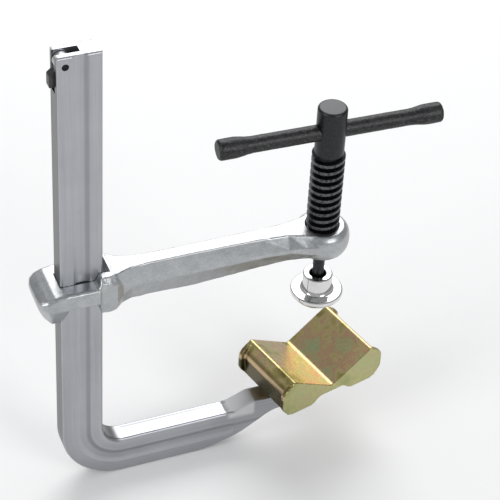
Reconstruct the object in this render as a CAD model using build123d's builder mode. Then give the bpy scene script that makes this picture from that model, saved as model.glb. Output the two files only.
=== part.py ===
"""Sliding-arm C clamp, in millimetres.

A profiled steel rail is bent into a fixed lower arm. A forged arm slides on the rail and carries the
screw, whose ball holds a swivel pad. A V-shaped pad for tubes turns on the tip of the fixed arm.
+Z runs up the rail and +X from the rail to the screw. The origin is at the centre of the clamp's
footprint, on the ground. The letter x in a size below is counted from the rail's back face.
"""

from build123d import *
import math
import os

os.makedirs("parts", exist_ok=True)

# Rail and fixed arm
rail_width = 25.0
rail_thick = 13.0
rail_top = 310.5
rail_edge = 1.5
bend_outside = 39.0
bend_inside = 14.0
arm_top = 26.5
seat_top = 32.0
seat_start_x = 121.0
nose_x = 171.0
groove_width = 9.5
groove_depth = 0.9
groove_end_x = 106.0

# Stop pawl at the rail's top
slot_width = 5.4
slot_depth = 13.8
slot_floor = 286.5
pawl_thick = 4.6
pawl_pivot_x = 4.7
pawl_pivot_z = 304.5
pawl_eye = 4.6
pawl_nose = 3.0
pawl_low = 290.5
pin_radius = 2.0
pin_depth = 0.8
running = 0.05

# Sliding arm
gap = 0.3
collar_low = 147.0
collar_high = 157.5
collar_half = 15.5
collar_back_x = -14.0
web_front_x = 38.0
web_half = 14.0
web_low = 137.0
web_high = 162.5
back_low = 129.0
arm_crown = 160.5
arm_ridge = 148.5
boss_low = 141.5
boss_high = 158.5
boss_top_radius = 13.0
boss_belly_radius = 16.5
boss_foot_radius = 13.5

# Screw
reach = 161.2
thread_radius = 9.75
thread_low = 141.0
thread_high = 212.0
head_radius = 8.6
head_top = 242.0
shank_radius = 4.0
shank_length = 20.0
neck_radius = 3.5
ball_radius = 5.5
ball_z = 114.0

# Cross bar
bar_z = 225.5
bar_turn = 1.7
bar_radius = 9.8 / 2
bar_half_length = 67.4
end_radius = 6.1
end_length = 19.0
end_taper = 9.5
end_chamfer = 1.4
spigot_radius = 3.5

# Swivel pad
pad_low = 104.5
pad_high = 121.0
flange_radius = 15.8
flange_top = 109.5
hub_radius = 9.0

# V pad on the fixed arm
v_turn = 14.2
v_low = 46.8
v_half = 29.6
v_slope = math.tan(math.radians(30))
v_high = v_low + v_half * v_slope
v_sheet = 3.0
v_under = v_low - v_sheet / math.cos(math.radians(30))
v_length = 47.0
ridge_half = 35.0
ridge_z = 54.0
wall_low = 38.5
wall_lean = 0.1
ear_half = 38.0
plate_low = 37.5
v_ball_radius = 4.5
v_ball_z = 38.0
v_neck_radius = 2.8
v_hub_radius = 9.0
v_hub_low = 33.2

# The footprint runs from the collar's back to the cross bar's tip.
lean = math.radians(bar_turn)
tip_x = reach + bar_half_length * math.cos(lean) + (end_radius - end_chamfer) * math.sin(lean)
middle_x = (collar_back_x + tip_x) / 2
axis_x = reach - middle_x


def at(x, z):
    """A point of a side outline, with x counted from the rail's back face."""
    return (x - middle_x, z)


# ---- Rail: one profiled bar, its lower end bent forwards and forged out to the seat of the V pad
with BuildPart() as rail:
    with BuildSketch(Plane.XZ):
        with BuildLine():
            outline = FilletPolyline(
                at(0, rail_top),
                at(0, 0),
                at(90, 0),
                at(113, 6),
                at(135, 20),
                at(nose_x, 26),
                at(nose_x, seat_top),
                at(seat_start_x, seat_top),
                at(108, arm_top),
                at(rail_width, arm_top),
                at(rail_width, rail_top),
                radius=[bend_outside, 60, 40, 20, 2.5, 2.5, 8, 15, bend_inside],
            )
            Line(outline @ 1, outline @ 0)
        make_face()
    extrude(amount=rail_thick / 2, both=True)
    side_edges = rail.edges().filter_by(lambda e: abs(e.center().Y) > rail_thick / 2 - 0.01)
    fillet(side_edges, rail_edge)

    # A shallow groove runs down both wide faces and round the bend.
    groove_radius = (groove_width**2 / 4 + groove_depth**2) / (2 * groove_depth)
    groove_y = rail_thick / 2 + groove_radius - groove_depth
    groove_x = rail_width / 2
    for side in (-1, 1):
        with BuildLine(Plane.XZ.offset(-side * groove_y)) as groove_path:
            FilletPolyline(
                at(groove_x, rail_top + 1),
                at(groove_x, groove_x + 0.5),
                at(groove_end_x, groove_x + 0.5),
                radius=[bend_outside - groove_x],
            )
        start = (groove_x - middle_x, side * groove_y, rail_top + 1)
        with BuildSketch(Plane(origin=start, z_dir=(0, 0, -1))):
            Circle(groove_radius)
        sweep(path=groove_path.wire(), mode=Mode.SUBTRACT)
        with Locations((groove_end_x - middle_x, side * groove_y, groove_x + 0.5)):
            Sphere(groove_radius, mode=Mode.SUBTRACT)

    # Slot for the pawl, with the pin's hole across it
    with BuildSketch(Plane.XZ):
        with BuildLine():
            Polyline(
                at(-1, slot_floor),
                at(slot_depth, slot_floor),
                at(slot_depth, rail_top + 1),
                at(-1, rail_top + 1),
                close=True,
            )
        make_face()
    extrude(amount=slot_width / 2, both=True, mode=Mode.SUBTRACT)
    with BuildSketch(Plane.XZ):
        with Locations(at(pawl_pivot_x, pawl_pivot_z)):
            Circle(pin_radius)
    extrude(amount=rail_thick, both=True, mode=Mode.SUBTRACT)

    # Blind hole for the V pad's stud
    with BuildSketch(Plane.XY.offset(seat_top)):
        with Locations((axis_x, 0)):
            Circle(shank_radius)
    extrude(amount=-5, mode=Mode.SUBTRACT)
rail.part.label = "rail"
export_step(rail.part, "parts/rail.step")

# ---- Pawl pin, pressed into the rail's two cheeks
with BuildPart() as pawl_pin:
    with BuildSketch(Plane.XZ):
        with Locations(at(pawl_pivot_x, pawl_pivot_z)):
            Circle(pin_radius)
    extrude(amount=rail_thick / 2 - pin_depth, both=True)
pawl_pin.part.label = "pawl_pin"
export_step(pawl_pin.part, "parts/pawl_pin.step")

# ---- Stop pawl: an eye on the pin and a tail whose nose stands out of the rail's back
with BuildPart() as stop_pawl:
    with BuildSketch(Plane.XZ):
        with Locations(at(pawl_pivot_x, pawl_pivot_z)):
            Circle(pawl_eye)
        with BuildLine():
            FilletPolyline(
                at(1.5, pawl_pivot_z + 1),
                at(0.2, 300.6),
                at(-pawl_nose, 297.8),
                at(-pawl_nose, pawl_low),
                at(5.6, pawl_low),
                at(6.4, 297.0),
                at(8.0, pawl_pivot_z),
                radius=[1.0, 1.2, 0.6, 0.8, 6.0],
            )
            Line(at(8.0, pawl_pivot_z), at(1.5, pawl_pivot_z + 1))
        make_face()
        with Locations(at(pawl_pivot_x, pawl_pivot_z)):
            Circle(pin_radius + running, mode=Mode.SUBTRACT)
    extrude(amount=pawl_thick / 2, both=True)
stop_pawl.part.label = "stop_pawl"
export_step(stop_pawl.part, "parts/stop_pawl.step")

# ---- Pawl spring: a bent leaf, held in the slot's floor, that pushes the pawl's tail outwards
with BuildPart() as pawl_spring:
    with BuildSketch(Plane.XZ):
        with BuildLine():
            Polyline(
                at(slot_depth, slot_floor),
                at(slot_depth, 296.0),
                at(7.2, 294.6),
                at(7.2, 294.0),
                at(slot_depth - 0.6, 295.2),
                at(slot_depth - 0.6, slot_floor + 0.6),
                at(8.0, slot_floor + 0.6),
                at(8.0, slot_floor),
                close=True,
            )
        make_face()
    extrude(amount=2.0, both=True)
pawl_spring.part.label = "pawl_spring"
export_step(pawl_spring.part, "parts/pawl_spring.step")

# ---- Sliding arm: a forging with a collar round the rail, a slim arm and a threaded boss
with BuildPart() as sliding_arm:
    with BuildSketch(Plane.XY.offset(collar_low)):
        with Locations(((collar_back_x + web_front_x) / 2 - middle_x, 0)):
            RectangleRounded(web_front_x - collar_back_x, 2 * collar_half, 5)
    extrude(amount=collar_high - collar_low)

    # The back wall hangs lower than the side walls, as a tongue that narrows, and its top slopes away.
    tongue_high = collar_low + 2
    tongue_sections = [
        (-12.5, [(9.5, tongue_high), (7.0, 144.0)]),
        (-10.0, [(12.5, tongue_high), (8.7, 137.6)]),
        (-4.6, [(13.5, tongue_high), (5.0, back_low + 0.9)]),
        (1.0, [(13.5, tongue_high), (4.0, back_low)]),
    ]
    for x, corners in tongue_sections:
        with BuildSketch(Plane.YZ.offset(x - middle_x)):
            with BuildLine():
                Polyline(*corners, *[(-y, z) for y, z in reversed(corners)], close=True)
            make_face()
    loft(ruled=True)
    with BuildSketch(Plane.XZ):
        with BuildLine():
            Polyline(
                at(collar_back_x - 1, 150.5),
                at(-2, collar_high),
                at(-2, collar_high + 5),
                at(collar_back_x - 1, collar_high + 5),
                close=True,
            )
        make_face()
    extrude(amount=2 * collar_half, both=True, mode=Mode.SUBTRACT)

    # The front wall stands higher and lower than the collar.
    with BuildSketch(Plane.XY.offset(web_low)):
        with Locations(((rail_width - 4 + web_front_x) / 2 - middle_x, 0)):
            RectangleRounded(web_front_x - rail_width + 4, 2 * web_half, 4)
    extrude(amount=web_high - web_low)

    # Neck, from the front wall to the arm
    neck_sections = [
        (32.0, [(11.5, web_high), (web_half, arm_ridge + 1), (12.0, web_low)]),
        (42.0, [(6.8, arm_crown + 0.7), (9.0, arm_ridge), (6.5, web_low)]),
        (54.0, [(4.3, arm_crown), (7.0, arm_ridge), (4.0, 136.8)]),
    ]
    for x, corners in neck_sections:
        with BuildSketch(Plane.YZ.offset(x - middle_x)):
            with BuildLine():
                Polyline(*corners, *[(-y, z) for y, z in reversed(corners)], close=True)
            make_face()
    loft()

    # Slim arm with a six-sided section, deepest halfway along
    arm_sections = [
        (54.0, [(4.3, arm_crown), (7.0, arm_ridge), (4.0, 136.8)]),
        (80.0, [(4.3, arm_crown), (7.0, arm_ridge), (4.0, 136.0)]),
        (reach - 4, [(5.0, arm_crown - 0.5), (9.0, arm_ridge + 1.5), (5.0, boss_low + 0.5)]),
    ]
    for x, corners in arm_sections:
        with BuildSketch(Plane.YZ.offset(x - middle_x)):
            with BuildLine():
                Polyline(*corners, *[(-y, z) for y, z in reversed(corners)], close=True)
            make_face()
    loft(ruled=True)

    # Boss round the screw
    with BuildSketch(Plane.XZ):
        with BuildLine():
            belly = ThreePointArc(
                (axis_x + boss_top_radius, boss_high),
                (axis_x + boss_belly_radius, (boss_low + boss_high) / 2),
                (axis_x + boss_foot_radius, boss_low),
            )
            Polyline(belly @ 1, (axis_x, boss_low), (axis_x, boss_high), belly @ 0)
        make_face()
    revolve(axis=Axis((axis_x, 0, 0), (0, 0, 1)))

    # Window for the rail and bore for the screw
    with BuildSketch(Plane.XY.offset(back_low - 5)):
        with Locations((rail_width / 2 - middle_x, 0)):
            Rectangle(rail_width + 2 * gap, rail_thick + 2 * gap)
    extrude(amount=web_high - back_low + 10, mode=Mode.SUBTRACT)
    with BuildSketch(Plane.XY.offset(boss_low - 5)):
        with Locations((axis_x, 0)):
            Circle(thread_radius + running)
    extrude(amount=boss_high - boss_low + 10, mode=Mode.SUBTRACT)
sliding_arm.part.label = "sliding_arm"
export_step(sliding_arm.part, "parts/sliding_arm.step")

# ---- Screw: thread at its major size, plain collar and drilled head
with BuildPart() as spindle:
    with BuildSketch(Plane.XZ):
        with BuildLine():
            Polyline(
                (axis_x, thread_low),
                (axis_x + thread_radius - 1.5, thread_low),
                (axis_x + thread_radius, thread_low + 1.5),
                (axis_x + thread_radius, thread_high - 0.75),
                (axis_x + head_radius, thread_high),
                (axis_x + head_radius, head_top - 2),
                (axis_x + head_radius - 2, head_top),
                (axis_x, head_top),
                close=True,
            )
        make_face()
    revolve(axis=Axis((axis_x, 0, 0), (0, 0, 1)))
    with BuildSketch(Plane.XY.offset(thread_low)):
        with Locations((axis_x, 0)):
            Circle(shank_radius + running)
    extrude(amount=shank_length + 0.5, mode=Mode.SUBTRACT)
    along_bar = (math.cos(lean), -math.sin(lean), 0)
    with BuildSketch(Plane(origin=(axis_x, 0, bar_z), z_dir=along_bar)):
        Circle(bar_radius + 2 * running)
    extrude(amount=2 * head_radius, both=True, mode=Mode.SUBTRACT)
spindle.part.label = "spindle"
export_step(spindle.part, "parts/spindle.step")

# ---- Ball stud: shank in the screw, thin neck and ball
with BuildPart() as ball_stud:
    with BuildSketch(Plane.XZ):
        with BuildLine():
            waist = ball_z + math.sqrt(ball_radius**2 - neck_radius**2)
            ball_arc = ThreePointArc(
                (axis_x, ball_z - ball_radius),
                (axis_x + ball_radius, ball_z),
                (axis_x + neck_radius, waist),
            )
            Polyline(
                ball_arc @ 1,
                (axis_x + neck_radius, thread_low - 1),
                (axis_x + shank_radius, thread_low - 0.5),
                (axis_x + shank_radius, thread_low + shank_length),
                (axis_x, thread_low + shank_length),
                ball_arc @ 0,
            )
        make_face()
    revolve(axis=Axis((axis_x, 0, 0), (0, 0, 1)))
ball_stud.part.label = "ball_stud"
export_step(ball_stud.part, "parts/ball_stud.step")

# ---- Cross bar: a plain rod with a spigot at each end
bar_plane = Plane(origin=(axis_x, 0, bar_z), z_dir=along_bar)
with BuildPart() as tommy_bar:
    with BuildSketch(bar_plane):
        Circle(bar_radius)
    extrude(amount=bar_half_length - end_length, both=True)
    with BuildSketch(bar_plane):
        Circle(spigot_radius)
    extrude(amount=bar_half_length - 2, both=True)
tommy_bar.part.label = "tommy_bar"
export_step(tommy_bar.part, "parts/tommy_bar.step")

# ---- Bar ends: two turned sleeves, each with a tapered shoulder, pressed on the spigots
for name, way in (("bar_end_left", -1), ("bar_end_right", 1)):
    outwards = (way * along_bar[0], way * along_bar[1], 0)
    across = Vector(*outwards).cross(Vector(0, 0, 1))
    end_plane = Plane(origin=(axis_x, 0, bar_z), x_dir=outwards, z_dir=across)
    inner = bar_half_length - end_length
    with BuildPart() as bar_end:
        with BuildSketch(end_plane):
            with BuildLine():
                Polyline(
                    (bar_half_length - 2, 0),
                    (bar_half_length - 2, spigot_radius),
                    (inner, spigot_radius),
                    (inner, bar_radius),
                    (inner + end_taper, end_radius),
                    (bar_half_length - end_chamfer, end_radius),
                    (bar_half_length, end_radius - end_chamfer),
                    (bar_half_length, 0),
                    close=True,
                )
            make_face()
        revolve(axis=Axis((axis_x, 0, bar_z), outwards))
    bar_end.part.label = name
    export_step(bar_end.part, "parts/" + name + ".step")

# ---- Swivel pad: a flange and a hub with a ball socket and a groove for the snap ring
clip_high = 3.8
clip_low = 2.6
clip_outside = 6.6
with BuildPart() as swivel_pad:
    with BuildSketch(Plane.XZ):
        with BuildLine():
            Polyline(
                (axis_x, pad_low),
                (axis_x + flange_radius - 2.2, pad_low),
                (axis_x + flange_radius - 1.6, pad_low + 1.4),
                (axis_x + flange_radius - 0.5, pad_low + 1.9),
                (axis_x + flange_radius, pad_low + 2.4),
                (axis_x + flange_radius, flange_top - 0.8),
                (axis_x + flange_radius - 1.0, flange_top),
                (axis_x + hub_radius + 1.2, flange_top),
                (axis_x + hub_radius, flange_top + 1.2),
                (axis_x + hub_radius, pad_high - 1.0),
                (axis_x + hub_radius - 1.0, pad_high),
                (axis_x, pad_high),
                close=True,
            )
        make_face()
    revolve(axis=Axis((axis_x, 0, 0), (0, 0, 1)))
    with Locations((axis_x, 0, ball_z)):
        Sphere(ball_radius + gap, mode=Mode.SUBTRACT)
    with BuildSketch(Plane.XY.offset(ball_z + 1.4)):
        with Locations((axis_x, 0)):
            Circle(7.3)
    extrude(amount=3.6, mode=Mode.SUBTRACT)
    with BuildSketch(Plane.XY.offset(ball_z + 4)):
        with Locations((axis_x, 0)):
            Circle(5.0)
    extrude(amount=pad_high - ball_z, mode=Mode.SUBTRACT)
swivel_pad.part.label = "swivel_pad"
export_step(swivel_pad.part, "parts/swivel_pad.step")

# ---- Snap ring over the ball's shoulder
with BuildPart() as pad_clip:
    with BuildSketch(Plane.XY.offset(ball_z + clip_low)):
        with Locations((axis_x, 0)):
            Circle(clip_outside)
            Circle(5.2, mode=Mode.SUBTRACT)
    extrude(amount=clip_high - clip_low)
pad_clip.part.label = "pad_clip"
export_step(pad_clip.part, "parts/pad_clip.step")

# ---- V pad: stamped sheet, a 120 degree trough whose sides turn down over a ridge, and two end plates
turn = math.radians(v_turn)
v_plane = Plane(
    origin=(axis_x, 0, 0),
    x_dir=(math.cos(turn), math.sin(turn), 0),
    z_dir=(math.sin(turn), -math.cos(turn), 0),
)
cut_z = wall_low - 10
cut_half = ridge_half - (ridge_z - cut_z) * wall_lean
with BuildPart() as v_pad:
    with BuildSketch(v_plane):
        with BuildLine():
            Polyline(
                (-cut_half, cut_z),
                (-ridge_half, ridge_z),
                (-v_half, v_high),
                (0, v_low),
                (v_half, v_high),
                (ridge_half, ridge_z),
                (cut_half, cut_z),
                close=True,
            )
        make_face()
        offset(amount=-v_sheet, mode=Mode.SUBTRACT)
        with Locations((0, wall_low / 2)):
            Rectangle(3 * ridge_half, wall_low, mode=Mode.SUBTRACT)
        with BuildLine():
            Polyline(
                (-v_half, v_high),
                (0, v_low),
                (v_half, v_high),
                (v_half - v_sheet / 2, v_under + (v_half - v_sheet / 2) * v_slope),
                (0, v_under),
                (-v_half + v_sheet / 2, v_under + (v_half - v_sheet / 2) * v_slope),
                close=True,
            )
        make_face()
    extrude(amount=v_length / 2, both=True)
    for side in (-1, 1):
        with BuildSketch(v_plane.offset(side * (v_length / 2 - v_sheet / 2))):
            with BuildLine():
                FilletPolyline(
                    (0, v_low - 1),
                    (v_half + 1.4, v_high - 0.9),
                    (ear_half, 56.0),
                    (ear_half, 44.0),
                    (v_half + 1.4, plate_low),
                    (13, plate_low),
                    (9, 42.5),
                    (0, 42.5),
                    radius=[1.5, 5, 6, 3, 2, 2],
                )
                mirror(about=Plane.YZ)
            make_face()
        extrude(amount=v_sheet / 2, both=True)
v_pad.part.label = "v_pad"
export_step(v_pad.part, "parts/v_pad.step")

# ---- V pad hub: a socket welded under the trough
with BuildPart() as v_pad_hub:
    with BuildSketch(Plane.XY.offset(v_hub_low)):
        with Locations((axis_x, 0)):
            Circle(v_hub_radius)
    extrude(amount=20)
    with BuildSketch(v_plane):
        with BuildLine():
            Polyline(
                (0, v_under),
                (v_half, v_under + v_half * v_slope),
                (-v_half, v_under + v_half * v_slope),
                close=True,
            )
        make_face()
    extrude(amount=v_length / 2, both=True, mode=Mode.SUBTRACT)
    with Locations((axis_x, 0, v_ball_z)):
        Sphere(v_ball_radius + gap, mode=Mode.SUBTRACT)
    with BuildSketch(Plane.XY.offset(v_ball_z - 3.6)):
        with Locations((axis_x, 0)):
            Circle(5.8)
    extrude(amount=2.2, mode=Mode.SUBTRACT)
    with BuildSketch(Plane.XY.offset(v_hub_low - 1)):
        with Locations((axis_x, 0)):
            Circle(3.9)
    extrude(amount=3, mode=Mode.SUBTRACT)
v_pad_hub.part.label = "v_pad_hub"
export_step(v_pad_hub.part, "parts/v_pad_hub.step")

# ---- Snap ring under the V pad's ball
with BuildPart() as v_pad_clip:
    with BuildSketch(Plane.XY.offset(v_ball_z - 3.0)):
        with Locations((axis_x, 0)):
            Circle(5.4)
            Circle(4.25, mode=Mode.SUBTRACT)
    extrude(amount=1.0)
v_pad_clip.part.label = "v_pad_clip"
export_step(v_pad_clip.part, "parts/v_pad_clip.step")

# ---- V pad stud: shank pressed in the arm's tip, neck and ball
with BuildPart() as v_pad_stud:
    with BuildSketch(Plane.XZ):
        with BuildLine():
            v_waist = v_ball_z - math.sqrt(v_ball_radius**2 - v_neck_radius**2)
            v_arc = ThreePointArc(
                (axis_x, v_ball_z + v_ball_radius),
                (axis_x + v_ball_radius, v_ball_z),
                (axis_x + v_neck_radius, v_waist),
            )
            Polyline(
                v_arc @ 1,
                (axis_x + v_neck_radius, seat_top),
                (axis_x + shank_radius, seat_top),
                (axis_x + shank_radius, seat_top - 5),
                (axis_x, seat_top - 5),
                v_arc @ 0,
            )
        make_face()
    revolve(axis=Axis((axis_x, 0, 0), (0, 0, 1)))
v_pad_stud.part.label = "v_pad_stud"
export_step(v_pad_stud.part, "parts/v_pad_stud.step")
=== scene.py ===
import math

import bmesh
import bpy
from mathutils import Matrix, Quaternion, Vector


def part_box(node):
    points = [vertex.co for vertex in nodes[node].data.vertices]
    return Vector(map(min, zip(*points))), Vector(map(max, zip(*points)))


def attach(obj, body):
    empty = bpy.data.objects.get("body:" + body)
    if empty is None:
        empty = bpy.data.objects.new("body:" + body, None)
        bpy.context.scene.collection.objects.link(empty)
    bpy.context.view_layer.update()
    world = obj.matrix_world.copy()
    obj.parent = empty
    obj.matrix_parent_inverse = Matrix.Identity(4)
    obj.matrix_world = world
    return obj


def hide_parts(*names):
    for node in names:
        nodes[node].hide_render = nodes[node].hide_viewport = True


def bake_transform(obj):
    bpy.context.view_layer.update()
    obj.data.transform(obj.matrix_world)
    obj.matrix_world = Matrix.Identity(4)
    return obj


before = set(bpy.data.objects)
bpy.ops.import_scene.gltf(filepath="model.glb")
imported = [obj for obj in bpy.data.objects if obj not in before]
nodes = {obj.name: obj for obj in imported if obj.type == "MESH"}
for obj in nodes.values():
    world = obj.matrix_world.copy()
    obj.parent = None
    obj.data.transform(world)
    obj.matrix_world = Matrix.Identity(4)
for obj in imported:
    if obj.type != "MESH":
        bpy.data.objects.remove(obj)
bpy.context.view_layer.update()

# ---- Camera, floor and light
# A long lens stands off to the left of the clamp and well above it. The floor is a sheet of white paper,
# and a big soft box behind, with two smaller ones at the sides, lights the plated faces from above.
scene = bpy.context.scene
camera = bpy.data.objects.new("camera", bpy.data.cameras.new("camera"))
scene.collection.objects.link(camera)
scene.camera = camera
azimuth, elevation, roll = math.radians(-23.69), math.radians(39.69), math.radians(3.61)
backwards = Vector((math.sin(azimuth) * math.cos(elevation),
                    -math.cos(azimuth) * math.cos(elevation), math.sin(elevation)))
camera.rotation_mode = "QUATERNION"
camera.rotation_quaternion = (-backwards).to_track_quat("-Z", "Y") @ Quaternion((0, 0, 1), roll)
camera.location = (-0.3421, -0.8000, 0.8749)
camera.data.sensor_width = 36
camera.data.lens = 141.2
camera.data.clip_start, camera.data.clip_end = 0.05, 20

bpy.ops.object.select_all(action="DESELECT")
bpy.ops.mesh.primitive_plane_add(size=6, location=(0, 0, 0))
floor = bpy.context.object
floor.name = "floor"
paper = bpy.data.materials.new("paper")
paper.use_nodes = True
paper.node_tree.nodes["Principled BSDF"].inputs["Base Color"].default_value = (0.91, 0.91, 0.91, 1)
paper.node_tree.nodes["Principled BSDF"].inputs["Roughness"].default_value = 0.8
floor.data.materials.append(paper)

middle = Vector((0, 0, 0.15))
for name, place, size, power in (("behind", (0.45, 1.15, 1.25), 1.3, 18),
                                 ("left", (-1.5, -0.3, 1.0), 0.7, 8),
                                 ("front", (0.6, -1.5, 1.1), 0.8, 9)):
    lamp = bpy.data.objects.new(name, bpy.data.lights.new(name, "AREA"))
    lamp.data.size = size
    lamp.data.energy = power
    lamp.location = place
    lamp.rotation_euler = (middle - Vector(place)).to_track_quat("-Z", "Y").to_euler()
    scene.collection.objects.link(lamp)
scene.world = bpy.data.worlds.new("studio")
scene.world.use_nodes = True
scene.world.node_tree.nodes["Background"].inputs["Color"].default_value = (0.97, 0.98, 1, 1)
scene.world.node_tree.nodes["Background"].inputs["Strength"].default_value = 0.42
scene.view_settings.view_transform = "Standard"


# ---- Rail
# A cold-drawn steel bar with a shallow groove in each wide face, bent at its lower end, hammered up to the
# seat of the V pad and zinc plated. The lines of the drawing run along it and round the bend.
class Value:
    """One number inside a shader, so that a pattern is written as a sum."""

    def __init__(self, finish, socket):
        self.finish = finish
        self.socket = socket

    def math(self, operation, first, second=0.0):
        return self.finish.node("Math", {"operation": operation}, {0: first, 1: second})

    def __add__(self, other):
        return self.math("ADD", self, other)

    def __sub__(self, other):
        return self.math("SUBTRACT", self, other)

    def __rsub__(self, other):
        return self.math("SUBTRACT", other, self)

    def __mul__(self, other):
        return self.math("MULTIPLY", self, other)

    def __pow__(self, other):
        return self.math("POWER", self, other)

    def __abs__(self):
        return self.math("ABSOLUTE", self)

    __radd__, __rmul__ = __add__, __mul__


class Finish:
    """A surface finish: one principled shader and the patterns that feed it."""

    def __init__(self, name, constants):
        self.material = bpy.data.materials.new(name)
        self.material.use_nodes = True
        self.tree = self.material.node_tree
        self.shader = self.tree.nodes["Principled BSDF"]
        for socket, value in constants.items():
            self.shader.inputs[socket].default_value = value
        self.place = self.node("TexCoord", {}, {}, "Object")
        self.x, self.y, self.z = (self.node("SeparateXYZ", {}, {0: self.place}, k) for k in range(3))

    def node(self, kind, settings, sockets, output=0):
        """Adds any node, its settings first and then the values or links of its sockets."""
        node = self.tree.nodes.new("ShaderNode" + kind)
        for name, setting in settings.items():
            if name == "stops":
                for _ in setting[2:]:
                    node.color_ramp.elements.new(0.5)
                for stop, (position, colour) in zip(node.color_ramp.elements, setting):
                    stop.position, stop.color = position, (*colour, 1)
            else:
                setattr(node, name, setting)
        for name, value in sockets.items():
            self.feed(node.inputs[name], value)
        return Value(self, node.outputs[output])

    def feed(self, socket, value):
        if isinstance(value, Value):
            self.tree.links.new(value.socket, socket)
        else:
            socket.default_value = value

    def noise(self, size, where=None, detail=3.0):
        """Cloudy noise from 0 to 1, with lumps of about the given size in metres."""
        sockets = {"Vector": where or self.place, "Scale": 1 / size, "Detail": detail}
        return self.node("TexNoise", {}, sockets)

    def stretched(self, x, y, z):
        """The place, scaled along each axis, for streaks."""
        return self.node("Mapping", {}, {"Vector": self.place, "Scale": (x, y, z)})

    def joined(self, x, y, z):
        return self.node("CombineXYZ", {}, {0: x, 1: y, 2: z})

    def step(self, value, low, high):
        """0 below low, 1 above high and a smooth rise between them; it falls where low is above high."""
        return self.node("MapRange", {"interpolation_type": "SMOOTHSTEP"},
                         {"Value": value, "From Min": low, "From Max": high})

    def mix(self, factor, first, second):
        first, second = (c if isinstance(c, Value) else (*c, 1) for c in (first, second))
        return self.node("Mix", {"data_type": "RGBA"}, {0: factor, 6: first, 7: second}, 2)

    def ramp(self, value, stops):
        return self.node("ValToRGB", {"stops": stops}, {0: value})

    def bump(self, height, depth, under=None):
        """A normal from a height of 0 to 1, where 1 stands depth metres proud."""
        sockets = {"Height": height, "Distance": depth}
        if under:
            sockets["Normal"] = under
        return self.node("Bump", {}, sockets)

    def set(self, **patterns):
        for name, value in patterns.items():
            self.feed(self.shader.inputs[name.replace("_", " ")], value)

    def on(self, *pieces):
        for piece in pieces:
            piece.data.materials.clear()
            piece.data.materials.append(self.material)


mm = 0.001
rail_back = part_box("rail")[0].x
bend_radius = 39 * mm

rail_plate = Finish("zinc on drawn bar", {"Metallic": 1.0})
before_bend = rail_plate.x * -1 + (rail_back + bend_radius)
before_bend = before_bend.math("MAXIMUM", before_bend, 0.0)
below_bend = rail_plate.z * -1 + bend_radius
below_bend = below_bend.math("MAXIMUM", below_bend, 0.0)
across = bend_radius - (before_bend * before_bend + below_bend * below_bend) ** 0.5
along = (rail_plate.x + rail_plate.z) * 0.012
lines = rail_plate.noise(0.45 * mm, rail_plate.joined(across, rail_plate.y, along))
bands = rail_plate.noise(4 * mm, rail_plate.joined(across, rail_plate.y, along))
clouds = rail_plate.noise(18 * mm)
ramp_start, ramp_end = rail_back + 104 * mm, rail_back + 122 * mm
on_ramp = rail_plate.step(rail_plate.x, ramp_start, ramp_start + 4 * mm)
on_ramp = on_ramp * rail_plate.step(rail_plate.x, ramp_end + 2 * mm, ramp_end)
on_ramp = on_ramp * rail_plate.step(rail_plate.z, 20 * mm, 24 * mm)
blows = rail_plate.node("TexVoronoi", {"feature": "SMOOTH_F1"}, {"Scale": 1 / (2.2 * mm), "Smoothness": 0.6})
tone = lines * 0.35 + bands * 0.4 + clouds * 0.25
rail_colour = rail_plate.ramp(tone, [(0.32, (0.36, 0.37, 0.39)), (0.5, (0.43, 0.44, 0.465)),
                                     (0.68, (0.50, 0.51, 0.53))])
# One slope of each groove is painted darker: painted shade on the slope turned from the light.
groove_side_shade = rail_plate.step(across, 14.0 * mm, 15.5 * mm) * rail_plate.step(across, 18.0 * mm, 16.5 * mm)
rail_colour = rail_plate.mix(groove_side_shade * 0.55, rail_colour, (0.24, 0.25, 0.27))
# The hammered ramp is painted much lighter: painted light on a slope that faces away from the lamps.
rail_colour = rail_plate.mix(on_ramp * 0.85, rail_colour, (0.82, 0.83, 0.84))
# The rail's inner face round the bend is painted dark: painted shade in the crease between the rail and the
# fixed arm.
bend_shade = rail_plate.step(across, 24.2 * mm, 24.8 * mm) * rail_plate.step(before_bend, 2 * mm, 6 * mm)
bend_shade = bend_shade * rail_plate.step(below_bend, 2 * mm, 6 * mm)
rail_colour = rail_plate.mix(bend_shade * 0.7, rail_colour, (0.15, 0.155, 0.15))
arm_top = 26.5 * mm
on_top = rail_plate.step(rail_plate.z, arm_top - 0.3 * mm, arm_top - 0.1 * mm)
on_top = on_top * rail_plate.step(rail_plate.z, arm_top + 0.4 * mm, arm_top + 0.2 * mm)
on_top = on_top * rail_plate.step(rail_plate.x, rail_back + 36 * mm, rail_back + 40 * mm)
stripes = rail_plate.noise(2.4 * mm, rail_plate.joined(rail_plate.y, along * 0.5, 0.0))
stripes = rail_plate.step(stripes, 0.54, 0.62)
rail_colour = rail_plate.mix(stripes * on_top * 0.65, rail_colour, (0.17, 0.175, 0.18))
# The middle of the rail's narrow back face is painted dark: painted shade on the face turned from the light.
back_face_shade = rail_plate.step(across, 1.3 * mm, 0.7 * mm)
back_face_shade = back_face_shade * rail_plate.step(abs(rail_plate.y), 5.8 * mm, 5.3 * mm)
rail_colour = rail_plate.mix(back_face_shade * 0.9, rail_colour, (0.13, 0.135, 0.13))
rail_plate.set(Base_Color=rail_colour, Roughness=lines * 0.16 + bands * 0.12 + on_ramp * 0.3 + 0.22,
               Normal=rail_plate.bump(lines, 0.012 * mm, rail_plate.bump(blows * on_ramp, 0.7 * mm)))
rail_plate.on(nodes["rail"])


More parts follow.
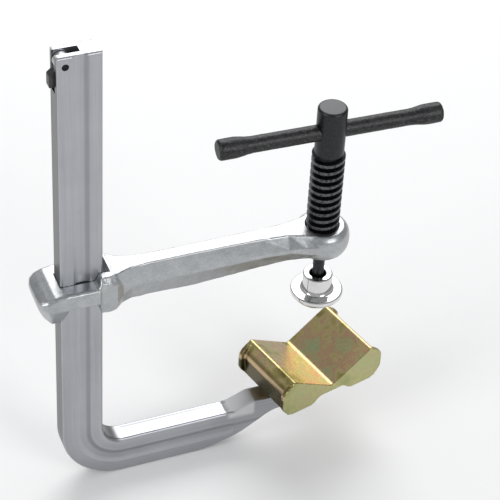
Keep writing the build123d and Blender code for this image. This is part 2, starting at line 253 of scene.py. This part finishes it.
# ---- Stop pawl, its pin and its spring
# The pawl is a small dark steel stamping on a riveted pin, and a bent leaf of spring steel pushes its tail
# out of the rail's back. It keeps the arm from sliding off the rail's upper end.
dark_steel = Finish("oiled dark steel", {"Metallic": 1.0})
smudges = dark_steel.noise(2.5 * mm)
pawl_colour = dark_steel.mix(smudges, (0.035, 0.034, 0.034), (0.14, 0.14, 0.145))
# The top of the pawl's eye is painted light grey: a painted highlight of the light above.
eye_top_highlight = dark_steel.step(dark_steel.z, 302 * mm, 305 * mm)
dark_steel.set(Base_Color=dark_steel.mix(eye_top_highlight * 0.85, pawl_colour, (0.62, 0.62, 0.63)),
               Roughness=smudges * 0.25 + 0.32,
               Normal=dark_steel.bump(dark_steel.noise(0.6 * mm), 0.03 * mm))
dark_steel.on(nodes["stop_pawl"], nodes["v_pad_stud"])

# The pawl's pin is painted near black: painted shade of the recess it sits in.
pin_hole_shade = Finish("pin painted as hole shade", {"Metallic": 0.6})
pits = pin_hole_shade.noise(0.8 * mm)
pin_hole_shade.set(Base_Color=pin_hole_shade.mix(pits, (0.006, 0.006, 0.006), (0.03, 0.03, 0.03)),
                Roughness=pits * 0.3 + 0.45)
pin_hole_shade.on(nodes["pawl_pin"])

spring_steel = Finish("spring steel", {"Metallic": 1.0})
strokes = spring_steel.noise(0.3 * mm, spring_steel.stretched(1, 1, 0.08))
spring_steel.set(Base_Color=spring_steel.mix(strokes, (0.22, 0.23, 0.25), (0.42, 0.43, 0.45)),
                 Roughness=strokes * 0.2 + 0.25)
spring_steel.on(nodes["pad_clip"], nodes["v_pad_clip"])


# ---- Sliding arm
# One steel drop forging, zinc plated: a collar round the rail, a deep front wall, a slim arm with a ridge
# along each side and a round boss for the screw. The window for the rail and the bore are machined.
def only(piece):
    """Selects one piece and nothing else, and makes it the active one."""
    bpy.ops.object.select_all(action="DESELECT")
    piece.select_set(True)
    bpy.context.view_layer.objects.active = piece


def settle(piece, name):
    """Puts a piece's place and turn in its mesh, and points its faces outwards."""
    only(piece)
    piece.name = piece.data.name = name
    bpy.ops.object.transform_apply(location=True, rotation=True, scale=True)
    bpy.ops.object.mode_set(mode="EDIT")
    bpy.ops.mesh.select_all(action="SELECT")
    bpy.ops.mesh.remove_doubles(threshold=0.001 * mm)
    bpy.ops.mesh.normals_make_consistent(inside=False)
    bpy.ops.object.mode_set(mode="OBJECT")
    return piece


def apply(piece, kind, **settings):
    """Adds a modifier, sets it and applies it."""
    only(piece)
    modifier = piece.modifiers.new(kind.lower(), kind)
    for name, setting in settings.items():
        setattr(modifier, name, setting)
    bpy.ops.object.modifier_apply(modifier=modifier.name)


def combine(piece, tool, operation="DIFFERENCE"):
    """Cuts, joins or trims a piece with another solid, which is used up."""
    apply(piece, "BOOLEAN", object=tool, operation=operation, solver="EXACT")
    bpy.data.objects.remove(tool)


def ring_of(piece):
    """The indices of the selected vertices, clockwise round the X axis from the top."""
    ring = [v for v in bmesh.from_edit_mesh(piece.data).verts if v.select]
    height = sum(v.co.z for v in ring) / len(ring)
    ring.sort(key=lambda v: math.atan2(v.co.y, v.co.z - height) % (2 * math.pi - 0.001))
    return [v.index for v in ring]


def pick(piece, indices):
    """Selects just these vertices of the piece that is being edited."""
    mesh = bmesh.from_edit_mesh(piece.data)
    mesh.verts.ensure_lookup_table()
    for vertex in mesh.verts:
        vertex.select_set(vertex.index in indices)
    mesh.select_flush_mode()
    bmesh.update_edit_mesh(piece.data)
    return mesh


def shape_ring(piece, x, section):
    """Moves each vertex of the selected ring to the outline of a section across X."""
    corners = [(half, height) for half, height in section]
    corners += [(-half, height) for half, height in reversed(section)]
    ring = ring_of(piece)
    for index, (y, z) in zip(ring, corners):
        mesh = pick(piece, {index})
        bpy.ops.transform.translate(value=Vector((x, y * mm, z * mm)) - mesh.verts[index].co)
    pick(piece, set(ring))


def draw_out(stations):
    """A solid drawn out along X. A station is x from the rail's back, then half widths at heights, in mm."""
    bpy.ops.object.select_all(action="DESELECT")
    bpy.ops.mesh.primitive_circle_add(vertices=2 * len(stations[0][1]), radius=5 * mm, fill_type="NGON",
                                      rotation=(0, math.pi / 2, 0))
    piece = bpy.context.object
    bpy.ops.object.transform_apply(location=False, rotation=True, scale=False)
    bpy.ops.object.mode_set(mode="EDIT")
    bpy.context.tool_settings.mesh_select_mode = (True, False, False)
    shape_ring(piece, rail_back + stations[0][0] * mm, stations[0][1])
    for x, section in stations[1:]:
        bpy.ops.mesh.extrude_region_move()
        shape_ring(piece, rail_back + x * mm, section)
    bpy.ops.object.mode_set(mode="OBJECT")
    return piece


def turn(outline, steps=96, centre=(0, 0, 0)):
    """A turned solid: its end face is drawn along Z through each (radius, height), in mm."""
    radius, height = outline[0]
    bpy.ops.object.select_all(action="DESELECT")
    bpy.ops.mesh.primitive_circle_add(vertices=steps, radius=radius * mm, fill_type="NGON",
                                      location=Vector(centre) + Vector((0, 0, height * mm)))
    piece = bpy.context.object
    bpy.ops.object.transform_apply(location=True, rotation=False, scale=False)
    bpy.ops.object.mode_set(mode="EDIT")
    for next_radius, next_height in outline[1:]:
        rise = (0, 0, (next_height - height) * mm)
        bpy.ops.mesh.extrude_region_move(TRANSFORM_OT_translate={"value": rise})
        change = next_radius / radius
        bpy.ops.transform.resize(value=(change, change, 1),
                                 center_override=Vector(centre) + Vector((0, 0, next_height * mm)))
        radius, height = next_radius, next_height
    bpy.ops.object.mode_set(mode="OBJECT")
    return piece


def block(low, high):
    """A block between two corners."""
    low, high = Vector(low), Vector(high)
    bpy.ops.object.select_all(action="DESELECT")
    bpy.ops.mesh.primitive_cube_add(size=1, location=(low + high) / 2)
    bpy.context.object.scale = high - low
    bpy.ops.object.transform_apply(location=True, rotation=False, scale=True)
    return bpy.context.object


screw_low, screw_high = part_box("spindle")
screw_x = (screw_low.x + screw_high.x) / 2
reach = (screw_x - rail_back) / mm

back_wall = [(-14.0, [(7.0, 152.4), (9.0, 151.8), (9.0, 149.8), (7.0, 149.4)]),
             (-12.6, [(10.5, 153.6), (13.0, 152.6), (12.4, 149.0), (7.0, 144.0)]),
             (-9.5, [(13.0, 155.2), (15.0, 154.0), (14.6, 147.8), (6.0, 137.0)]),
             (-5.0, [(13.6, 156.8), (15.5, 155.4), (15.3, 147.5), (5.0, 130.5)]),
             (1.2, [(14.0, 157.5), (15.5, 156.3), (15.5, 147.4), (4.5, 129.5)])]
side_walls = [(3.2, [(14.0, 157.5), (15.5, 156.3), (15.5, 147.7), (14.6, 147.0)]),
              (20.4, [(14.0, 157.5), (15.5, 156.3), (15.5, 147.3), (14.6, 146.5)])]
front_wall = [(22.2, [(11.4, 162.4), (14.2, 160.0), (14.2, 139.6), (12.4, 137.8)]),
              (27.5, [(11.0, 162.2), (14.0, 158.4), (14.0, 139.0), (12.2, 137.0)]),
              (31.5, [(9.8, 161.6), (13.2, 156.0), (13.2, 140.6), (11.2, 137.0)]),
              (36.0, [(7.4, 161.0), (9.4, 152.6), (9.4, 145.0), (7.2, 137.0)])]
slim_arm = [(42.0, [(5.2, 160.8), (7.4, 149.8), (7.4, 147.8), (4.8, 137.0)]),
            (54.0, [(4.4, 160.5), (7.1, 149.4), (7.1, 147.8), (4.1, 136.8)]),
            (80.0, [(4.4, 160.5), (7.1, 149.3), (7.1, 147.7), (4.1, 136.0)]),
            (119.0, [(4.7, 160.2), (8.0, 150.2), (8.0, 148.8), (4.6, 139.0)]),
            (reach - 24, [(5.6, 159.8), (9.6, 151.4), (9.6, 149.2), (5.6, 140.6)]),
            (reach - 14, [(8.2, 159.0), (12.6, 152.4), (12.6, 148.2), (8.4, 141.8)]),
            (reach - 5, [(10.6, 158.5), (15.4, 152.8), (15.4, 147.8), (11.0, 142.0)]),
            (reach - 2, [(10.6, 158.4), (15.4, 152.8), (15.4, 147.8), (11.0, 142.0)])]
arm = draw_out(back_wall + side_walls + front_wall + slim_arm)

boss = turn([(12.8, 141.5), (14.6, 142.3)]
            + [(13.9 + 2.6 * math.cos(t), 150 + 7.2 * math.sin(t)) for t in
               [math.radians(a) for a in range(-72, 73, 12)]]
            + [(13.4, 158.2), (12.4, 158.5)], centre=(screw_x, 0, 0))
combine(arm, boss, "UNION")
apply(arm, "REMESH", mode="VOXEL", voxel_size=0.55 * mm)
apply(arm, "SMOOTH", factor=0.5, iterations=5)

window_half = (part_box("rail")[1].y + 0.3 * mm, 12.5 * mm + 0.3 * mm)
rail_middle = rail_back + 12.5 * mm
combine(arm, block((rail_middle - window_half[1], -window_half[0], 0.12),
                   (rail_middle + window_half[1], window_half[0], 0.18)))
lead_in = block((rail_middle + window_half[1] - 0.1 * mm, -window_half[0], 156.5 * mm),
                (rail_middle + window_half[1] + 6.0 * mm, window_half[0], 165 * mm))
only(lead_in)
bpy.ops.object.mode_set(mode="EDIT")
foot = [v.index for v in bmesh.from_edit_mesh(lead_in.data).verts
        if v.co.z < 160 * mm and v.co.x > rail_middle + window_half[1] + 1 * mm]
pick(lead_in, set(foot))
bpy.ops.transform.translate(value=(-5.9 * mm, 0, 0))
bpy.ops.object.mode_set(mode="OBJECT")
combine(arm, lead_in)
combine(arm, turn([(9.8, 130.0), (9.8, 158.0), (11.0, 159.4), (11.0, 165.0)], centre=(screw_x, 0, 0)))
arm = settle(arm, "forged_arm")
only(arm)
bpy.ops.object.shade_smooth_by_angle(angle=math.radians(38))

forged_plate = Finish("zinc on a forging", {"Metallic": 1.0})
lumps = forged_plate.noise(7 * mm)
grain = forged_plate.noise(0.9 * mm, detail=5.0)
scuffs = forged_plate.noise(0.5 * mm, forged_plate.stretched(0.10, 1, 1))
lead_start = rail_middle + window_half[1]
in_lead = forged_plate.step(forged_plate.x, lead_start + 7 * mm, lead_start + 5 * mm)
in_lead = in_lead * forged_plate.step(forged_plate.x, lead_start - 1 * mm, lead_start)
in_lead = in_lead * forged_plate.step(forged_plate.z, 156 * mm, 157 * mm)
forged_tone = lumps * 0.3 + grain * 0.4 + scuffs * 0.3
forged_colour = forged_plate.ramp(forged_tone, [(0.34, (0.36, 0.375, 0.385)), (0.5, (0.455, 0.47, 0.48)),
                                                (0.66, (0.56, 0.57, 0.575))])
forged_plate.set(Base_Color=forged_colour, Roughness=grain * 0.22 + scuffs * 0.1 + 0.2,
                 Normal=forged_plate.bump(grain * (in_lead * 6 + 1), 0.05 * mm,
                                          forged_plate.bump(lumps, 0.25 * mm)))
forged_plate.on(arm)
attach(arm, "arm")
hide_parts("sliding_arm")


# ---- Screw
# Turned from round bar, with a rolled trapezoidal thread of 5 mm pitch below a plain neck and a cross hole
# in its head. All of it is black oxide, lighter in patches on the thread's crests, with a painted sheen on
# the head's end.
pitch = 5.0
crest, root = 9.75, 7.35
flank = (crest - root) * math.tan(math.radians(14.5))
tooth = [(crest, 0.0), (crest, pitch / 2 - flank), (root, pitch / 2), (root, pitch - flank), (crest, pitch)]
thread_top = 212.0
turns = 18


def chain(points):
    """A chain of edges through the points, in metres."""
    bpy.ops.object.select_all(action="DESELECT")
    bpy.ops.mesh.primitive_plane_add(size=1 * mm, location=points[0])
    piece = bpy.context.object
    bpy.ops.object.transform_apply(location=True, rotation=False, scale=False)
    bpy.ops.object.mode_set(mode="EDIT")
    bpy.ops.mesh.merge(type="CENTER")
    for start, end in zip(points, points[1:]):
        bpy.ops.mesh.extrude_vertices_move(TRANSFORM_OT_translate={"value": Vector(end) - Vector(start)})
    bpy.ops.object.mode_set(mode="OBJECT")
    return piece


thread = chain([Vector((r * mm, 0, z * mm)) for r, z in tooth])
apply(thread, "SCREW", screw_offset=pitch * mm, iterations=turns, steps=64, render_steps=64,
      use_merge_vertices=True, merge_threshold=0.001 * mm)
thread.location = (screw_x, 0, screw_low.z - 1.7 * pitch * mm)
thread = settle(thread, "screw")
only(thread)
bpy.ops.object.mode_set(mode="EDIT")
bpy.ops.mesh.select_all(action="SELECT")
bpy.ops.mesh.fill_holes(sides=0)
bpy.ops.mesh.select_all(action="SELECT")
bpy.ops.mesh.normals_make_consistent(inside=False)
bpy.ops.object.mode_set(mode="OBJECT")
thread_foot = screw_low.z / mm
combine(thread, turn([(root - 0.2, thread_foot), (crest + 0.1, thread_foot + 2.2),
                      (crest + 0.1, thread_top - 2.0), (root - 0.2, thread_top)],
                     centre=(screw_x, 0, 0)), "INTERSECT")
head_top, head_radius = screw_high.z / mm, 8.6
head_round = [(head_radius - 1.8 + 1.8 * math.cos(t), head_top - 1.8 + 1.8 * math.sin(t))
              for t in [math.radians(a) for a in range(0, 91, 15)]]
combine(thread, turn([(head_radius - 0.8, thread_top - 1.6), (head_radius, thread_top - 0.8)] + head_round
                     + [(0.5, head_top)], centre=(screw_x, 0, 0)), "UNION")
combine(thread, turn([(4.05, thread_foot - 5), (4.05, thread_foot + 20.5)], 48, (screw_x, 0, 0)))

bar_low, bar_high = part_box("tommy_bar")
bar_z = (bar_low.z + bar_high.z) / 2
bar_lean = math.radians(1.7)
bar_turn = (0, math.pi / 2, -bar_lean)
cross_hole = turn([(5.8, -12), (5.0, -7.9), (5.0, 7.9), (5.8, 12)], 64)
cross_hole.rotation_euler = bar_turn
cross_hole.location = (screw_x, 0, bar_z)
combine(thread, settle(cross_hole, "cross_hole"))
screw = settle(thread, "screw")
only(screw)
bpy.ops.object.shade_smooth_by_angle(angle=math.radians(28))

black_oxide = Finish("black oxide", {"Metallic": 1.0})
from_axis = ((black_oxide.x - screw_x) * (black_oxide.x - screw_x) + black_oxide.y * black_oxide.y) ** 0.5
# The thread's crests are painted lighter in patches.
light_crests = black_oxide.step(from_axis, (crest - 0.11) * mm, (crest - 0.01) * mm)
light_crests = light_crests * black_oxide.step(black_oxide.noise(1.6 * mm), 0.3, 0.6)
# The head's end is painted lighter: a painted sheen of the light above.
head_end_sheen = black_oxide.step(black_oxide.z, (head_top - 0.5) * mm, (head_top - 0.1) * mm)
soot = black_oxide.noise(1.3 * mm, detail=5.0)
black_colour = black_oxide.mix(soot, (0.022, 0.023, 0.025), (0.062, 0.064, 0.066))
black_colour = black_oxide.mix(light_crests * 0.5, black_colour, (0.22, 0.225, 0.23))
black_colour = black_oxide.mix(head_end_sheen * 0.5, black_colour, (0.10, 0.103, 0.107))
black_oxide.set(Base_Color=black_colour, Roughness=soot * 0.2 + 0.3,
                Normal=black_oxide.bump(soot, 0.03 * mm))
black_oxide.on(screw, nodes["ball_stud"])
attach(screw, "screw")
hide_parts("spindle")


# ---- Pawl spring
# A strip of spring steel bent into a foot, a riser and a leaf whose tip rests on the pawl's tail. The foot
# stays in the slot. On the clamp the leaf bends as the pawl is pressed in; here it is built in one fixed
# shape.
leaf_line = [(8.3, 286.8), (13.5, 286.8), (13.5, 295.5), (7.4, 294.3)]
strip_width = 4.0
strip_thickness = 0.5
strip_points = []
for (x0, z0), (x1, z1) in zip(leaf_line, leaf_line[1:]):
    strip_points += [(x0 + (x1 - x0) * k / 12, z0 + (z1 - z0) * k / 12) for k in range(12)]
strip_points.append(leaf_line[-1])
leaf = chain([Vector((rail_back + x * mm, -strip_width / 2 * mm, z * mm)) for x, z in strip_points])
only(leaf)
bpy.ops.object.mode_set(mode="EDIT")
bpy.ops.mesh.select_all(action="SELECT")
bpy.ops.mesh.extrude_edges_move(TRANSFORM_OT_translate={"value": (0, strip_width * mm, 0)})
bpy.ops.object.mode_set(mode="OBJECT")
apply(leaf, "SOLIDIFY", thickness=strip_thickness * mm, offset=0.0, use_even_offset=True)
leaf = settle(leaf, "leaf_spring")
spring_steel.on(leaf)
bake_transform(leaf)
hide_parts("pawl_spring")


# ---- Cross bar and its ends
# A hot-rolled rod, slid through the screw's head, whose ends are upset sleeves that keep it there. They
# are rough from the hammer and scaled black.
bar_half = (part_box("bar_end_right")[1].x - screw_x) / math.cos(bar_lean) / mm - 0.1
sleeve_start = bar_half - 19.0
bump_cloud = bpy.data.textures.new("hammering", "CLOUDS")
bump_cloud.noise_scale = 3.2 * mm
bump_cloud.noise_depth = 3


def hammered(outline, name, depth, steps=48):
    """A turned rough piece of the bar: its outline lies along the bar, and its skin is pushed in and out."""
    piece = turn(outline, steps)
    apply(piece, "DISPLACE", texture=bump_cloud, texture_coords="LOCAL", strength=depth, mid_level=0.7)
    piece.rotation_euler = bar_turn
    piece.location = (screw_x, 0, bar_z)
    settle(piece, name)
    bpy.ops.object.shade_smooth_by_angle(angle=math.radians(35))
    return piece


rod_length = 2 * sleeve_start
rod_steps = [(4.85, -sleeve_start + rod_length * k / 80) for k in range(81)]
rod = hammered([(3.4, -bar_half + 2), (3.4, -sleeve_start)] + rod_steps
               + [(3.4, sleeve_start), (3.4, bar_half - 2)], "cross_bar", 0.14 * mm)
rod_finish = Finish("mill scale", {"Metallic": 1.0})
scale_patches = rod_finish.noise(2.2 * mm, detail=6.0)
flecks = rod_finish.step(rod_finish.noise(0.8 * mm), 0.56, 0.7)
scale_colour = rod_finish.mix(scale_patches, (0.012, 0.012, 0.013), (0.085, 0.085, 0.087))
rod_finish.set(Base_Color=rod_finish.mix(flecks * 0.5, scale_colour, (0.19, 0.19, 0.19)),
               Roughness=scale_patches * 0.3 + 0.3,
               Normal=rod_finish.bump(rod_finish.noise(0.9 * mm, detail=4.0), 0.12 * mm))
rod_finish.on(rod)
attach(rod, "bar")
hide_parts("tommy_bar")

flare = [(4.95 + 1.1 * (3 * u ** 2 - 2 * u ** 3), sleeve_start + 9.5 * u)
         for u in [k / 8 for k in range(1, 9)]]
straight = [(6.05, sleeve_start + 9.5 + 1.8 * k) for k in range(1, 5)]
nose = [(4.45 + 1.6 * math.cos(t), bar_half - 1.6 + 1.6 * math.sin(t))
        for t in [math.radians(a) for a in range(15, 91, 15)]]
sleeve_outline = [(4.95, sleeve_start)] + flare + straight + nose + [(2.5, bar_half)]
for side, name in ((-1, "bar_end_left"), (1, "bar_end_right")):
    sleeve = hammered([(r, side * z) for r, z in sleeve_outline], name.replace("end", "sleeve"), 0.3 * mm)
    rod_finish.on(sleeve)
    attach(sleeve, "bar")
    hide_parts(name)


# ---- Swivel pad
# A turned steel pad, polished and chromium plated, with a stepped rim, a raised hub and a socket for the
# ball of the screw. A snap ring in the socket's groove holds it there.
pad_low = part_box("swivel_pad")[0].z / mm
flange = [(13.6, 0), (14.0, 0.2), (14.3, 1.2), (14.9, 1.7), (15.4, 1.9), (15.7, 2.3), (15.8, 2.8),
          (15.8, 3.9), (15.6, 4.5), (15.1, 4.9), (14.4, 5.0), (10.7, 5.0), (9.9, 5.2), (9.3, 5.7),
          (9.0, 6.6)]
hub = [(9.0, 15.2), (8.85, 15.9), (8.4, 16.35), (7.8, 16.5), (5.5, 16.5), (5.0, 16.1), (5.0, 14.5),
       (7.3, 14.5), (7.3, 10.9), (5.63, 10.9)]
socket = [(5.8 * math.cos(t), 9.5 - 5.8 * math.sin(t)) for t in [math.radians(a) for a in range(0, 85, 12)]]
pad_outline = [(r, z + pad_low) for r, z in flange + hub + socket]
pad = settle(turn(pad_outline, centre=(screw_x, 0, 0)), "swivel_foot")
only(pad)
bpy.ops.object.shade_smooth_by_angle(angle=math.radians(32))
chrome = Finish("chromium plate", {"Metallic": 1.0})
haze = chrome.noise(3 * mm)
rings = chrome.noise(0.25 * mm, chrome.joined(
    ((chrome.x - screw_x) * (chrome.x - screw_x) + chrome.y * chrome.y) ** 0.5, chrome.z, 0.0))
chrome.set(Base_Color=chrome.mix(haze, (0.66, 0.66, 0.65), (0.8, 0.8, 0.79)), Roughness=haze * 0.08 + 0.05,
           Normal=chrome.bump(rings, 0.004 * mm))
chrome.on(pad)
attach(pad, "pad")
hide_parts("swivel_pad")


# ---- V pad
# Steel sheet pressed to a trough of 120 degrees whose sides turn down over a ridge, with an eared plate
# welded across each end and a round hub under it. Yellow chromate over zinc gives it its many colours; the
# dark skirt and the dark band above the ridge are painted shade, and the light line on the ridge is a
# painted highlight.
v_turn = math.radians(14.2)
sheet = 3.0
v_line = 46.8
fold = [(-33.4, 38.5), (-35.0, 54.0), (-29.6, 63.89), (0.0, v_line),
        (29.6, 63.89), (35.0, 54.0), (33.4, 38.5)]
half_length = 23.5
trough = chain([Vector((s * mm, half_length * mm, z * mm)) for s, z in fold])
only(trough)
bpy.ops.object.mode_set(mode="EDIT")
bpy.ops.mesh.select_all(action="SELECT")
bpy.ops.mesh.extrude_edges_move(TRANSFORM_OT_translate={"value": (0, -2 * half_length * mm, 0)})
mesh = bmesh.from_edit_mesh(trough.data)
for edge in mesh.edges:
    edge.select_set(len(edge.link_faces) == 2)
bmesh.update_edit_mesh(trough.data)
bpy.ops.mesh.bevel(offset=1.6 * mm, segments=4)
bpy.ops.mesh.select_all(action="SELECT")
bpy.ops.mesh.normals_make_consistent(inside=False)
bpy.ops.object.mode_set(mode="OBJECT")
rising = sum(p.normal.z * p.area for p in trough.data.polygons)
apply(trough, "SOLIDIFY", thickness=sheet * mm, offset=-1.0 if rising > 0 else 1.0, use_even_offset=True)

plate_outline = [(0.0, v_line - 1), (30.8, 62.8), (37.9, 56.5), (37.9, 44.5), (31.5, 37.6), (13.5, 37.6),
                 (9.5, 42.5), (-9.5, 42.5), (-13.5, 37.6), (-31.5, 37.6), (-37.9, 44.5), (-37.9, 56.5),
                 (-30.8, 62.8)]
for end in (-1, 1):
    plate = chain([Vector((s * mm, end * (half_length - sheet / 2) * mm, z * mm)) for s, z in plate_outline])
    only(plate)
    bpy.ops.object.mode_set(mode="EDIT")
    bpy.ops.mesh.select_all(action="SELECT")
    bpy.ops.mesh.edge_face_add()
    bpy.ops.mesh.bevel(offset=3.2 * mm, segments=5, affect="VERTICES")
    bpy.ops.object.mode_set(mode="OBJECT")
    apply(plate, "SOLIDIFY", thickness=sheet * mm, offset=0.0)
    only(trough)
    plate.select_set(True)
    bpy.ops.object.join()
apply(trough, "REMESH", mode="VOXEL", voxel_size=0.5 * mm)
apply(trough, "SMOOTH", factor=0.5, iterations=6)
trough.rotation_euler = (0, 0, v_turn)
trough.location = (screw_x, 0, 0)
trough = settle(trough, "v_saddle")
only(trough)
bpy.ops.object.shade_smooth_by_angle(angle=math.radians(40))

chromate = Finish("yellow chromate", {"Metallic": 1.0})
film = chromate.noise(16 * mm, detail=2.0) * 0.88 + chromate.noise(4.0 * mm) * 0.12
chromate_colour = chromate.ramp(film, [(0.30, (0.20, 0.17, 0.06)), (0.40, (0.37, 0.31, 0.12)),
                                       (0.48, (0.50, 0.42, 0.20)), (0.54, (0.50, 0.32, 0.20)),
                                       (0.60, (0.44, 0.40, 0.20)), (0.70, (0.36, 0.42, 0.24))])
across_v = abs((chromate.x - screw_x) * math.cos(v_turn) + chromate.y * math.sin(v_turn))
along_v = abs(chromate.y * math.cos(v_turn) - (chromate.x - screw_x) * math.sin(v_turn))
outside = chromate.step(across_v, 32.0 * mm, 33.5 * mm) * chromate.step(along_v, 23.6 * mm, 23.2 * mm)
# The skirt below the ridge is painted dark: painted shade and dark reflection on the wall turned down and
# away.
skirt_wall_shade = outside * chromate.step(chromate.z, 53.5 * mm, 52.0 * mm)
# A painted highlight along the ridge's fold.
ridge_highlight = outside * chromate.step(chromate.z, 52.6 * mm, 53.6 * mm)
ridge_highlight = ridge_highlight * chromate.step(chromate.z, 56.4 * mm, 55.2 * mm)
# The band between the ridge and the top edge is painted dark: painted shade.
band_shade = outside * chromate.step(chromate.z, 55.2 * mm, 56.4 * mm)
band_shade = band_shade * chromate.step(chromate.z, 61.5 * mm, 60.5 * mm)
on_end = chromate.step(along_v, 23.3 * mm, 23.45 * mm)
chromate_colour = chromate.mix(skirt_wall_shade * 0.9, chromate_colour, (0.07, 0.055, 0.02))
chromate_colour = chromate.mix(ridge_highlight * 0.75, chromate_colour, (0.60, 0.44, 0.28))
chromate_colour = chromate.mix(band_shade * 0.7, chromate_colour, (0.14, 0.10, 0.045))
chromate_colour = chromate.mix(on_end * 0.6, chromate_colour, (0.42, 0.46, 0.22))
chromate.set(Base_Color=chromate_colour, Roughness=chromate.noise(1.5 * mm) * 0.2 + 0.2,
             Normal=chromate.bump(chromate.noise(0.9 * mm, detail=4.0), 0.03 * mm))
chromate.on(trough, nodes["v_pad_hub"])
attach(trough, "v_jaw")
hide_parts("v_pad")
